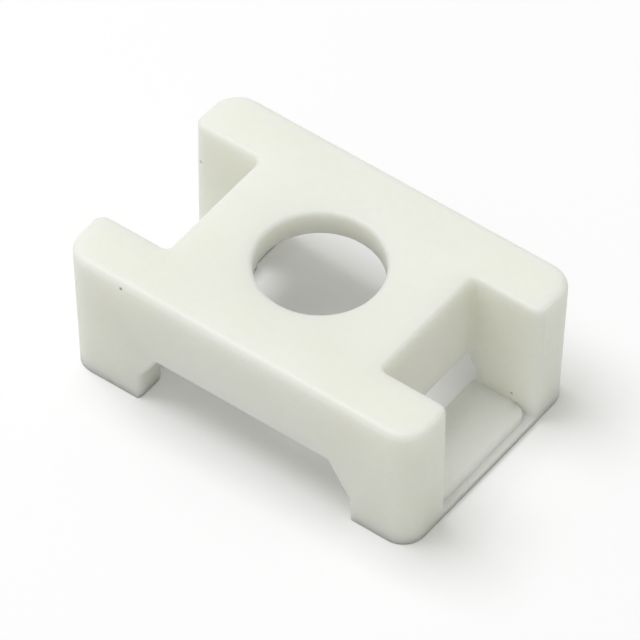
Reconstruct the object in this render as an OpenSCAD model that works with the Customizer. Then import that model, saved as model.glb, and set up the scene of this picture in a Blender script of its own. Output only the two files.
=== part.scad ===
// Screw-fixed saddle mount for cable ties, one moulded piece.
// Millimetres, +Z up. The origin is on the screw axis, in the plane the
// feet stand on. X runs along the length, the way the tie is threaded.

/* [Overall] */
// Length over the top face
length = 22; // [20.5:0.5:25]
// Width over the top face
width = 14.3; // [13.7:0.1:18]
// Height from the feet to the top face
height = 8.4; // [7.6:0.1:10]
// Radius of the four outer corners in plan
corner_r = 1.6; // [1:0.05:2]
// Radius of the soft edge round the top face
top_edge_r = 0.4; // [0.2:0.05:0.7]
// Lean of the outer walls, narrower at the feet, in degrees
draft = 1.9; // [0.5:0.1:2]

/* [Screw hole] */
// Diameter of the screw hole through the deck plate
hole_d = 6.8; // [5.3:0.1:7.4]
// Thickness of the deck plate
plate_t = 1.5; // [1.2:0.1:2]
// Thickness of the walls that hang from the deck plate
wall_t = 1.2; // [1:0.05:1.5]

/* [End notches] */
// Width of the notch between the two prongs
notch_w = 7.7; // [6:0.1:8]
// Depth of the notch, in from the end of the top face
notch_depth = 4.3; // [3.8:0.1:4.4]
// Fillet in the two inner corners of a notch
notch_fillet_r = 0.35; // [0.2:0.05:0.5]
// Rounding of a prong's upright edge beside the notch
prong_edge_r = 0.7; // [0.4:0.05:0.8]

/* [Tie path] */
// Height of the sill the tie runs over
sill_h = 0.85; // [0.8:0.05:1.1]
// How far the sill reaches in from the end, at the bottom
sill_reach = 4.12; // [3.9:0.02:4.3]
// Height of the gap between the sill and the deck's end wall
window_h = 2.2; // [1.9:0.1:2.3]
// Rounding of the sill's outer top edge
sill_edge_r = 0.25; // [0.15:0.05:0.25]
// Rounding of the sill's two outer corners in plan
sill_corner_r = 0.9; // [0.5:0.05:1.1]
// Step from the sill's outer face out to the toe's
toe_step = 0.35; // [0.2:0.05:0.5]
// Height of the toe that joins the two feet in front of the sill
toe_h = 0.5; // [0.35:0.05:0.5]

/* [Feet] */
// How far a foot reaches in from the end, at the bottom
foot_len = 3.9; // [3.4:0.05:4.2]
// Height of the upright part of a foot's inner face
foot_rise = 1.65; // [1.4:0.05:2]
// Height of the side arch between the feet
arch_h = 3.77; // [3.6:0.01:4]
// How far the slope above a foot reaches in under the deck
slope_run = 1.3; // [0.8:0.05:1.5]
// How much further in the padded foot on each side reaches
pad_len = 0.85; // [0.6:0.05:1]
// Width of that pad, in from the side face
pad_w = 2.45; // [2:0.05:2.8]
// Rounding of the pad's upright edges
pad_r = 0.65; // [0.4:0.05:0.7]

/* [Hidden] */
$fn = 96;

nylon = [0.91, 0.91, 0.87];
eps = 0.01;
over = 2;

half_l = length / 2;
half_w = width / 2;
half_notch = notch_w / 2;
lean = tan(draft);
shoulder_h = height - top_edge_r;
foot_inset = lean * shoulder_h;

deck_half_l = half_l - notch_depth;
foot_x = half_l - foot_len;
foot_top_x = foot_x - lean * foot_rise;
slope_x = foot_top_x - slope_run;
window_top = sill_h + window_h;
sill_x = half_l - sill_reach;
sill_end = half_l - foot_inset - toe_step;

core_half_l = deck_half_l - wall_t;
core_half_w = half_w - wall_t;
core_r = wall_t / 2;

pad_x = foot_x - pad_len;
pad_y = half_w - pad_w;
pad_root = 2 * pad_r;
slope_angle = atan2(slope_run, arch_h - foot_rise);
slope_len = norm([slope_run, arch_h - foot_rise]);

// Half of a leaning, soft-topped wall section: "reach" out at the top.
module half_section(reach) {
    flat = reach - top_edge_r;
    polygon([
        [0, 0],
        [reach - foot_inset, 0],
        [reach, shoulder_h],
        [flat, shoulder_h],
        [flat, height],
        [0, height]
    ]);
    translate([flat, shoulder_h])
        intersection() {
            circle(r = top_edge_r);
            square(top_edge_r);
        }
}

// A straight run of that section, leaning on both sides.
module section_run(reach, run) {
    rotate([90, 0, 0])
        linear_extrude(height = run, center = true) {
            half_section(reach);
            mirror([1, 0]) half_section(reach);
        }
}

// The outer form before anything is cut away.
module envelope() {
    section_run(half_l, width - 2 * corner_r);
    rotate([0, 0, 90]) section_run(half_w, length - 2 * corner_r);
    for (mx = [0, 1], my = [0, 1])
        mirror([mx, 0, 0]) mirror([0, my, 0])
            translate([half_l - corner_r, half_w - corner_r, 0])
                rotate_extrude(angle = 90) half_section(corner_r);
}

// Side view of a foot: the upright inner face, then the slope to the deck.
module foot_side_view() {
    polygon([
        [foot_x, 0],
        [foot_top_x, foot_rise],
        [slope_x, arch_h],
        [slope_x, height - plate_t / 2],
        [half_l + over, height - plate_t / 2],
        [half_l + over, 0]
    ]);
}

// Plan of the prong beside a notch, run out past the envelope.
module prong_plan() {
    inner = deck_half_l - over / 2;
    translate([half_l - prong_edge_r, half_notch + prong_edge_r])
        circle(r = prong_edge_r);
    translate([inner, half_notch])
        square([half_l - prong_edge_r - inner, half_w - half_notch + over]);
    translate([inner, half_notch + prong_edge_r])
        square([half_l + over - inner, half_w - half_notch - prong_edge_r + over]);
}

// The small fillet where a prong meets the deck's end wall.
module notch_fillet_plan() {
    difference() {
        translate([deck_half_l - eps, half_notch - notch_fillet_r])
            square([notch_fillet_r + eps, notch_fillet_r + eps]);
        translate([deck_half_l + notch_fillet_r, half_notch - notch_fillet_r])
            circle(r = notch_fillet_r);
    }
}

// One foot with the prong that stands on it.
module leg() {
    intersection() {
        linear_extrude(height = height) prong_plan();
        translate([0, half_w + over, 0])
            rotate([90, 0, 0])
                linear_extrude(height = half_w + over) foot_side_view();
    }
    translate([0, 0, arch_h])
        linear_extrude(height = height - arch_h) prong_plan();
    translate([0, 0, window_top])
        linear_extrude(height = height - window_top) notch_fillet_plan();
}

// Plan of the pad on a foot, its inner face on X = 0.
module pad_plan() {
    translate([pad_r, pad_y + pad_r]) circle(r = pad_r);
    translate([pad_r, half_w - pad_r]) circle(r = pad_r);
    translate([0, pad_y + pad_r]) square([pad_root, pad_w - 2 * pad_r]);
    translate([pad_r, pad_y]) square([pad_root - pad_r, pad_w]);
}

// Everything on the far side of the pad's mitre plane, or on the near side.
module mitre_side(above) {
    reach = 2 * height;
    translate([pad_x, 0, foot_rise])
        rotate([0, -slope_angle / 2, 0])
            translate([-reach / 2, 0, above ? 0 : -reach])
                cube([reach, half_w + over, reach]);
}

// The pad: upright to the foot's rise, then along the slope to the deck.
module pad() {
    intersection() {
        translate([pad_x, 0, 0])
            linear_extrude(height = foot_rise + over) pad_plan();
        mitre_side(above = false);
    }
    intersection() {
        translate([pad_x, 0, foot_rise])
            rotate([0, -slope_angle, 0])
                translate([0, 0, -over / 2])
                    linear_extrude(height = slope_len + over) pad_plan();
        mitre_side(above = true);
        cube([half_l, half_w, arch_h + wall_t / 2]);
    }
}

// One end's sill, and the lower toe in front of it from foot to foot.
module sill() {
    intersection() {
        rotate([90, 0, 0])
            linear_extrude(height = notch_w, center = true) sill_side_view();
        linear_extrude(height = sill_h + over) sill_plan();
    }
    toe_half = half_notch + prong_edge_r;
    translate([foot_x, -toe_half, 0])
        cube([foot_len, 2 * toe_half, toe_h]);
}

// Side view of the sill: its inner face leans like the feet's.
module sill_side_view() {
    flat = sill_end - sill_edge_r;
    polygon([
        [sill_x, 0],
        [sill_x - lean * sill_h, sill_h],
        [flat, sill_h],
        [flat, sill_h - sill_edge_r],
        [sill_end, sill_h - sill_edge_r],
        [sill_end, 0]
    ]);
    translate([flat, sill_h - sill_edge_r])
        intersection() {
            circle(r = sill_edge_r);
            square(sill_edge_r);
        }
}

// Plan of the sill with its two outer corners rounded.
module sill_plan() {
    inner = sill_x - over;
    round_x = sill_end - sill_corner_r;
    round_y = half_notch - sill_corner_r;
    translate([inner, -half_notch]) square([round_x - inner, notch_w]);
    translate([inner, -round_y]) square([sill_end + over - inner, 2 * round_y]);
    for (sy = [-1, 1])
        translate([round_x, sy * round_y]) circle(r = sill_corner_r);
}

// The deck block, its end walls hanging lower than its side walls.
module deck() {
    translate([-deck_half_l, -half_w, arch_h])
        cube([2 * deck_half_l, width, height - arch_h]);
    translate([-deck_half_l, -half_notch, window_top])
        cube([2 * deck_half_l, notch_w, height - window_top]);
}

// Plan of the hollow under the deck plate.
module core_plan() {
    square([2 * core_half_l - 2 * core_r, 2 * core_half_w], center = true);
    square([2 * core_half_l, 2 * core_half_w - 2 * core_r], center = true);
    for (sx = [-1, 1], sy = [-1, 1])
        translate([sx * (core_half_l - core_r), sy * (core_half_w - core_r)])
            circle(r = core_r);
}

module tie_mount() {
    color(nylon)
        difference() {
            intersection() {
                envelope();
                union() {
                    deck();
                    for (turn = [0, 180]) rotate([0, 0, turn]) {
                        sill();
                        leg();
                        mirror([0, 1, 0]) leg();
                        pad();
                    }
                }
            }
            translate([0, 0, -eps])
                linear_extrude(height = height - plate_t + eps) core_plan();
            translate([0, 0, height - plate_t - over])
                cylinder(h = plate_t + 2 * over, d = hole_d);
        }
}

tie_mount();
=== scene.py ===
# %% [markdown]
# # A cable tie mount, dressed for a studio picture
#
# The part is one moulding in natural nylon: a flat deck with a screw hole, a
# notch in each end for the tie, and a low sill under each notch. Its sizes
# were settled in the solid model, so nothing here moves or resizes it. What is
# left is the work of a finisher: soften the knife edges that no mould leaves,
# give the plastic its depth and its small flaws, and light it.

import math

import bmesh
import bpy
from mathutils import Matrix, Vector
from mathutils.geometry import intersect_point_line


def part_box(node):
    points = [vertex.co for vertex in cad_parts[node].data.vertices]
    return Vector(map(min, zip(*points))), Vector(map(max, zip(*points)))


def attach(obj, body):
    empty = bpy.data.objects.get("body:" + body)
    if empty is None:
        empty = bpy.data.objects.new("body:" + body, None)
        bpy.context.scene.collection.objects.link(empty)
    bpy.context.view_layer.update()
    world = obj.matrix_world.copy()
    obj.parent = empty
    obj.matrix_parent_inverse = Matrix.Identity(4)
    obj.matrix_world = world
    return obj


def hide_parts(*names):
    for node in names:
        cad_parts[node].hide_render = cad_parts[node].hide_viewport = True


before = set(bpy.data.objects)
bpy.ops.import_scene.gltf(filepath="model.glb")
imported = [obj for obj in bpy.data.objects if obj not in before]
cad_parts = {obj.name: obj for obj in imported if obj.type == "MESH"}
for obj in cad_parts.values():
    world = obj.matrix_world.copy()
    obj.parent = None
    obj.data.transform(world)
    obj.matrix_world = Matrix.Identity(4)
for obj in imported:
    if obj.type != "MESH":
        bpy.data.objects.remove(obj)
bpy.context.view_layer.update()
MM = 0.001
low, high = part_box("tie_mount")
sides = [(top - bottom) / MM for bottom, top in zip(low, high)]
print("solid model, mm:", [round(side, 2) for side in sides])

# %% [markdown]
# ## A clean copy of the surface
#
# The solid model arrives as triangles, and each flat face is cut into many of
# them. An edge tool would follow every cut. So a copy of the surface is merged
# at its doubled points, and the cuts inside each flat face are dissolved,
# which leaves only the edges that a finger would feel.

# %% Copy the surface and merge it
MERGE_DISTANCE = 0.002 * MM
FLAT_TURN = math.radians(0.5)


def merged_copy(node):
    """A bmesh of a node's surface, its points merged, its flats dissolved."""
    surface = bmesh.new()
    surface.from_mesh(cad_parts[node].data)
    bmesh.ops.remove_doubles(surface, verts=surface.verts, dist=MERGE_DISTANCE)
    bmesh.ops.dissolve_limit(
        surface, angle_limit=FLAT_TURN,
        verts=surface.verts, edges=surface.edges)
    return surface


skin = merged_copy("tie_mount")
open_edges = [e for e in skin.edges if not e.is_manifold]
print("faces:", len(skin.faces), "open edges:", len(open_edges))

# %% [markdown]
# ## The lip round the hole and the notches
#
# The edges that the tie and the screw rub against are the softest ones on the
# real part. A shader can fake a soft edge, but the fake is missing from the
# outline and from the mesh. A real bevel in a few steps costs little here. The
# edges are picked by two tests, how sharply the surface turns and how near the
# top face they lie, so no list of edges has to be kept. An edge that turns
# back on itself is a cusp, which a bevel can't round, and is passed over.

# %% Round the lip
SHARP_TURN = math.radians(55)
FOLD_TURN = math.radians(100)
LIP_ZONE = 0.45 * MM
LIP_R = 0.25 * MM
LIP_STEPS = 4


def sharp_edges(surface, floor, ceiling):
    """The edges between two heights that turn sharply but not right back."""
    return [
        e for e in surface.edges
        if e.is_manifold and SHARP_TURN < e.calc_face_angle() < FOLD_TURN
        and all(floor < v.co.z < ceiling for v in e.verts)]


def ease(surface, edges, radius, steps):
    """Round some edges of a surface with a bevel of a few steps."""
    bmesh.ops.bevel(
        surface, geom=edges, affect="EDGES", offset=radius,
        offset_type="OFFSET", segments=steps, profile=0.5,
        clamp_overlap=False, material=-1)


lip = sharp_edges(skin, high.z - LIP_ZONE, math.inf)
ease(skin, lip, LIP_R, LIP_STEPS)
print("lip edges:", len(lip), "faces now:", len(skin.faces))

# %% [markdown]
# ## The finer edges
#
# Everywhere else the mould was cut sharp and only the cooling plastic drew the
# edges in, so they get a much smaller bevel. Where several edges crowd
# together, as where a rounded corner runs out along a wall, a bevel has no
# room and folds over itself. So each long edge is first cut near its ends,
# into a long middle and two stubs. Then the bevel is tried on a copy, the
# folds in it are found, and the shortest edge beside each fold is left sharp.
# That goes on until no eased edge lies beside a fold. Stubs in the crowded
# corners stay sharp, and so do a few longer edges, about a seventh of the
# length in all. Faces that the bevel squeezed to nothing are dissolved at the
# end.

# %% Ease the rest
EDGE_R = 0.05 * MM
EDGE_STEPS = 2
EDGE_ZONE_TOP = high.z - 2 * LIP_ZONE
WEDGE = math.radians(40)
STUB = 0.15 * MM
LONG_EDGE = 3 * STUB
FOLD_REACH = 1.5 * EDGE_R
FOLD_AREA = 1e-5 * MM * MM
SLIVER = MERGE_DISTANCE / 4
TRIALS = 10


def cut_stubs(edges):
    """Cut a stub off both ends of each long edge, and return all the parts."""
    parts = []
    for edge in edges:
        if edge.calc_length() > LONG_EDGE:
            for end in tuple(edge.verts):
                parts.append(bmesh.utils.edge_split(
                    edge, end, STUB / edge.calc_length())[0])
        parts.append(edge)
    return parts


def roomy(edges):
    """The edges that don't end in a narrow wedge with another of them."""
    chosen = set(edges)

    def is_wedge(corner):
        ways = [
            e.other_vert(corner).co - corner.co
            for e in corner.link_edges if e in chosen]
        return any(
            a.angle(b) < WEDGE for i, a in enumerate(ways) for b in ways[:i])

    return [e for e in edges if not any(is_wedge(v) for v in e.verts)]


def fold_spots(surface, edges):
    """Where the surface would fold over itself if these edges were eased."""
    trial = surface.copy()
    trial.edges.ensure_lookup_table()
    ease(trial, [trial.edges[e.index] for e in edges], EDGE_R, EDGE_STEPS)
    bmesh.ops.triangulate(trial, faces=trial.faces)
    spots = [
        (e.verts[0].co + e.verts[1].co) / 2 for e in trial.edges
        if e.is_manifold and e.calc_face_angle() > FOLD_TURN
        and min(f.calc_area() for f in e.link_faces) > FOLD_AREA]
    trial.free()
    return spots


def gap(spot, edge):
    """The distance from a point to an edge."""
    start, end = (v.co for v in edge.verts)
    share = intersect_point_line(spot, start, end)[1]
    return (spot - start.lerp(end, min(1, max(0, share)))).length


def length_of(edges):
    """The length of some edges together."""
    return sum(e.calc_length() for e in edges)


sharp = cut_stubs(sharp_edges(skin, -math.inf, EDGE_ZONE_TOP))
sharp_length = length_of(sharp)
parts = roomy(sharp)
skin.edges.index_update()
for attempt in range(TRIALS):
    tight = set()
    for spot in fold_spots(skin, parts):
        beside = [e for e in parts if gap(spot, e) < FOLD_REACH]
        if beside:
            tight.add(min(beside, key=bmesh.types.BMEdge.calc_length))
    if not tight:
        break
    parts = [e for e in parts if e not in tight]
eased_share = length_of(parts) / sharp_length
ease(skin, parts, EDGE_R, EDGE_STEPS)
bmesh.ops.dissolve_degenerate(skin, dist=SLIVER, edges=skin.edges)
print("trials:", attempt + 1, "eased: %.0f%%" % (100 * eased_share))

# %% [markdown]
# Rounding can leave a point a fraction of a thousandth of a millimetre above
# the top face. Each point is put back inside the solid model's box.

# %% Keep it inside the box
for point in skin.verts:
    point.co = [
        min(top, max(bottom, at))
        for bottom, at, top in zip(low, point.co, high)]
print("top at, mm:", round(max(v.co.z for v in skin.verts) / MM, 4))

# %% [markdown]
# The finished surface takes the place of the solid model's own. It is shaded
# smoothly, except where it still turns by more than CREASE.

# %% Make the moulding from it
CREASE = math.radians(30)

moulding_mesh = bpy.data.meshes.new("nylon_moulding")
skin.to_mesh(moulding_mesh)
skin.free()
moulding = bpy.data.objects.new("nylon_moulding", moulding_mesh)
bpy.context.scene.collection.objects.link(moulding)
moulding_mesh.shade_smooth()
moulding_mesh.set_sharp_from_angle(angle=CREASE)
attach(moulding, "root")
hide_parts("tie_mount")
print("triangles:", sum(len(p.vertices) - 2 for p in moulding_mesh.polygons))

# %% [markdown]
# ## Shader maths as plain expressions
#
# A node tree is hard to read in text. A small class wraps a socket, so that a
# mask reads as arithmetic, and each operator adds its Math node. Any other
# node comes from one method, which sets the node up first and then its
# sockets.

# %% A socket that can be added and multiplied


class Wire:
    """A socket in a material's node tree, with arithmetic."""

    def __init__(self, tree, socket):
        self.tree, self.socket = tree, socket

    def node(self, kind, settings, sockets, output=0):
        """Add a node of a kind, with its settings, then its sockets."""
        made = self.tree.nodes.new(kind)
        for name, value in settings.items():
            setattr(made, name, value)
        for name, value in sockets.items():
            plug(self.tree, made.inputs[name], value)
        return Wire(self.tree, made.outputs[output])

    def beside(self, output):
        """Another output of the node that this one comes from."""
        return Wire(self.tree, self.socket.node.outputs[output])

    def math(self, operation, first, second):
        """Add a Math node that works on two values."""
        return self.node(
            "ShaderNodeMath", {"operation": operation}, {0: first, 1: second})

    def __add__(self, other):
        return self.math("ADD", self, other)

    def __radd__(self, other):
        return self.math("ADD", other, self)

    def __sub__(self, other):
        return self.math("SUBTRACT", self, other)

    def __rsub__(self, other):
        return self.math("SUBTRACT", other, self)

    def __mul__(self, other):
        return self.math("MULTIPLY", self, other)

    def __rmul__(self, other):
        return self.math("MULTIPLY", other, self)

    def either(self, other):
        """1 where this or the other is 1."""
        return self.math("MAXIMUM", self, other)

    def between(self, start, end):
        """0 below start, 1 above end, and a smooth rise between them."""
        return self.node(
            "ShaderNodeMapRange", {"interpolation_type": "SMOOTHSTEP"},
            {"Value": self, "From Min": start, "From Max": end})

    def tint(self, plain, full):
        """One colour where this is 0 and another where it is 1."""
        return self.node(
            "ShaderNodeMix", {"data_type": "RGBA"},
            {"Factor": self, 6: plain, 7: full}, output=2)


def plug(tree, socket, value):
    """Link a wire to a socket, or set the socket to a plain value."""
    if isinstance(value, Wire):
        tree.links.new(value.socket, socket)
    else:
        socket.default_value = value


def new_material(name):
    """A material, its shader's sockets, and a wire from that shader."""
    material = bpy.data.materials.new(name)
    material.use_nodes = True
    tree = material.node_tree
    shader = tree.nodes["Principled BSDF"]
    return material, shader.inputs, Wire(tree, shader.outputs["BSDF"])


# %% [markdown]
# ## Natural nylon
#
# Uncoloured nylon is a warm ivory with a little green and grey in it. Light
# goes a millimetre or two in before it comes out again. On a part this small
# that rounds off every shadow, and light that fell on the deck leaves by the
# wall of the hole and the sides of the notches. So all of its diffuse light is
# scattered under the surface here. Red and green travel equally far in it, and
# blue a little less. The skin is satin from the mould.

# %% Mix the nylon
NYLON_IOR = 1.53
SPREAD = 1.6 * MM
SPREAD_BY_COLOUR = (1.0, 1.0, 0.93)

nylon, skin_of, body = new_material("natural_nylon")
skin_of["IOR"].default_value = NYLON_IOR
skin_of["Subsurface Weight"].default_value = 1.0
skin_of["Subsurface Radius"].default_value = SPREAD_BY_COLOUR
skin_of["Subsurface Scale"].default_value = SPREAD
print("light spreads, mm:", round(SPREAD / MM, 2))

# %% [markdown]
# Three things keep it from looking like paint: slow clouds in its colour, a
# very fine grain in its surface, and the few dark specks of burnt material
# that every batch carries. The specks are small balls at random points of
# space. The surface cuts through only some of them, so they differ in size by
# themselves.

# %% Cloud and speckle its colour
IVORY = (0.893, 0.898, 0.83, 1)
IVORY_DEEP = (0.858, 0.863, 0.785, 1)
BURNT = (0.22, 0.21, 0.12, 1)
CLOUD_SIZE, CLOUD_SHARE = 3.8 * MM, 0.6
MOTTLE_SIZE, MOTTLE_SHARE = 0.4 * MM, 0.4
CLOUD_START, CLOUD_END = 0.38, 0.62
CLOUD_DEPTH = 0.5
SPECK_GAP = 2.2 * MM
SPECK_R = 0.13 * MM
SPECK_CORE_R = 0.4 * SPECK_R
FAINTEST, DARKEST = 0.25, 0.95

place = body.node("ShaderNodeTexCoord", {}, {}, "Object")


def noise(size, detail, roughness):
    """Noise with features of about a size, in metres."""
    return place.node(
        "ShaderNodeTexNoise", {},
        {"Vector": place, "Scale": 1 / size, "Detail": detail,
         "Roughness": roughness})


clouds = noise(CLOUD_SIZE, 3.0, 0.5)
mottle = noise(MOTTLE_SIZE, 2.0, 0.6)
mixed = clouds * CLOUD_SHARE + mottle * MOTTLE_SHARE
cloudiness = mixed.between(CLOUD_START, CLOUD_END) * CLOUD_DEPTH
cells = place.node(
    "ShaderNodeTexVoronoi", {}, {"Vector": place, "Scale": 1 / SPECK_GAP},
    "Distance")
strength = cells.beside("Color").between(FAINTEST, DARKEST)
near_point = 1 - cells.between(SPECK_CORE_R / SPECK_GAP, SPECK_R / SPECK_GAP)
clean = cloudiness.tint(IVORY, IVORY_DEEP)
colour = (near_point * strength).tint(clean, BURNT)
plug(body.tree, skin_of["Base Color"], colour)
print("nodes for the colour:", len(body.tree.nodes))

# %% [markdown]
# The grain is far finer than the clouds. It roughens the gloss a little, and
# with the clouds it makes a faint relief, because a moulded face is never
# quite flat. The Bump node fakes that relief in the shading, which is enough
# for something so shallow.

# %% Grain its surface
GRAIN_SIZE = 0.11 * MM
ROUGHNESS, GRAIN_ROUGHNESS = 0.40, 0.12
RELIEF_STRENGTH = 0.12
RELIEF_HEIGHT = 0.02 * MM
CLOUD_RELIEF = 2.0

grain = noise(GRAIN_SIZE, 2.0, 0.6)
plug(body.tree, skin_of["Roughness"], grain * GRAIN_ROUGHNESS + ROUGHNESS)
relief = body.node(
    "ShaderNodeBump", {},
    {"Strength": RELIEF_STRENGTH, "Distance": RELIEF_HEIGHT,
     "Height": grain + clouds * CLOUD_RELIEF})
plug(body.tree, skin_of["Normal"], relief)
moulding_mesh.materials.clear()
moulding_mesh.materials.append(nylon)
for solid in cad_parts.values():
    for holder in solid.material_slots:
        holder.material = nylon
print("material:", nylon.name, "with", len(body.tree.nodes), "nodes")

# %% [markdown]
# ## A pale table
#
# The background is plain white. More light would bring the table to white, but
# it would burn the part out too. So the table is whiter to the camera, and to
# reflections, than it is to the light that bounces off it, and for those alone
# it glows faintly. It keeps the part's shadow. It lies a hair below the feet,
# because two faces in one plane would show through each other.

# %% Lay the table
TABLE_HALF = 0.6
TABLE_DROP = 0.01 * MM
table_skin = bmesh.new()
bmesh.ops.create_grid(table_skin, x_segments=1, y_segments=1, size=TABLE_HALF)
bmesh.ops.translate(
    table_skin, verts=table_skin.verts, vec=(0, 0, low.z - TABLE_DROP))
table_mesh = bpy.data.meshes.new("table")
table_skin.to_mesh(table_mesh)
table_skin.free()
table = bpy.data.objects.new("table", table_mesh)
bpy.context.scene.collection.objects.link(table)
print("table laid at, mm:", round((low.z - TABLE_DROP) / MM, 3))

# %% Whiten it
TABLE_SEEN = (0.98, 0.98, 1, 1)
TABLE_BOUNCE = (0.75, 0.75, 0.75, 1)
TABLE_GLOW = 0.06
TABLE_ROUGHNESS = 0.9

white, top_of, board = new_material("table_white")
top_of["Roughness"].default_value = TABLE_ROUGHNESS
top_of["Specular IOR Level"].default_value = 0.0
camera_ray = board.node("ShaderNodeLightPath", {}, {}, "Is Camera Ray")
seen = camera_ray.either(camera_ray.beside("Is Glossy Ray"))
seen = seen.either(camera_ray.beside("Is Transmission Ray"))
plug(board.tree, top_of["Base Color"], seen.tint(TABLE_BOUNCE, TABLE_SEEN))
glow = board.node("ShaderNodeEmission", {}, {"Strength": seen * TABLE_GLOW})
both = board.node("ShaderNodeAddShader", {}, {0: board, 1: glow})
plug(board.tree, board.tree.nodes["Material Output"].inputs["Surface"], both)
table_mesh.materials.append(white)
print("table material:", white.name, "with", len(board.tree.nodes), "nodes")

# %% [markdown]
# ## Soft light
#
# A dim, faintly warm world fills the sides. One square panel, faintly cool,
# hangs high to the left and a little to the front, and makes the deck the
# brightest face. From there the deck's own end wall shades the back of the
# right sill, which shows how deep the notch is. The panel is two thirds as
# wide as it is far, so that no shadow has a hard edge.

# %% Light the sides
SKY_COLOUR = (1, 1, 0.92, 1)
SKY_STRENGTH = 0.51

scene = bpy.context.scene
scene.view_settings.view_transform = "Standard"
world = bpy.data.worlds.new("studio")
world.use_nodes = True
sky = world.node_tree.nodes["Background"].inputs
sky["Color"].default_value = SKY_COLOUR
sky["Strength"].default_value = SKY_STRENGTH
scene.world = world
print("world:", world.name, "strength", SKY_STRENGTH)

# %% Hang the panel
PANEL_AT = Vector((-0.20, -0.05, 0.58))
PANEL_SIDE = 0.4
PANEL_POWER = 2.02
PANEL_COLOUR = (0.95, 0.965, 1)

panel_light = bpy.data.lights.new("high_panel", "AREA")
panel_light.shape = "SQUARE"
panel_light.size = PANEL_SIDE
panel_light.energy = PANEL_POWER
panel_light.color = PANEL_COLOUR
panel = bpy.data.objects.new("high_panel", panel_light)
panel.location = PANEL_AT
panel.rotation_euler = (-PANEL_AT).to_track_quat("-Z", "Y").to_euler()
scene.collection.objects.link(panel)
print("panel:", panel.name, "at, m:", [round(v, 2) for v in PANEL_AT])

# %% [markdown]
# ## The camera
#
# A long lens from far off flattens the perspective, as in a catalogue picture.
# The three angles and the aim are written as numbers, and the matrix is put
# together from them.

# %% Place the camera
AZIMUTH = math.radians(36.5432)
ELEVATION = math.radians(48.0409)
ROLL = math.radians(0.3821)
DISTANCE, SHIFT_X, SHIFT_Y = 458.0768 * MM, -0.0332 * MM, -2.7567 * MM
LENS, SENSOR, NEAR = 506.25, 36.0, 0.01

back = Vector((
    math.sin(AZIMUTH) * math.cos(ELEVATION),
    -math.cos(AZIMUTH) * math.cos(ELEVATION),
    math.sin(ELEVATION)))
level = Vector((math.cos(AZIMUTH), math.sin(AZIMUTH), 0))
rise = back.cross(level)
right = level * math.cos(ROLL) + rise * math.sin(ROLL)
up = rise * math.cos(ROLL) - level * math.sin(ROLL)
spot = back * DISTANCE - right * SHIFT_X - up * SHIFT_Y
lens = bpy.data.cameras.new("camera")
lens.lens, lens.sensor_width, lens.clip_start = LENS, SENSOR, NEAR
camera = bpy.data.objects.new("camera", lens)
camera.matrix_world = Matrix((
    (right.x, up.x, back.x, spot.x),
    (right.y, up.y, back.y, spot.y),
    (right.z, up.z, back.z, spot.z),
    (0, 0, 0, 1)))
scene.collection.objects.link(camera)
scene.camera = camera
print("camera at, mm:", [round(v / MM, 1) for v in spot])
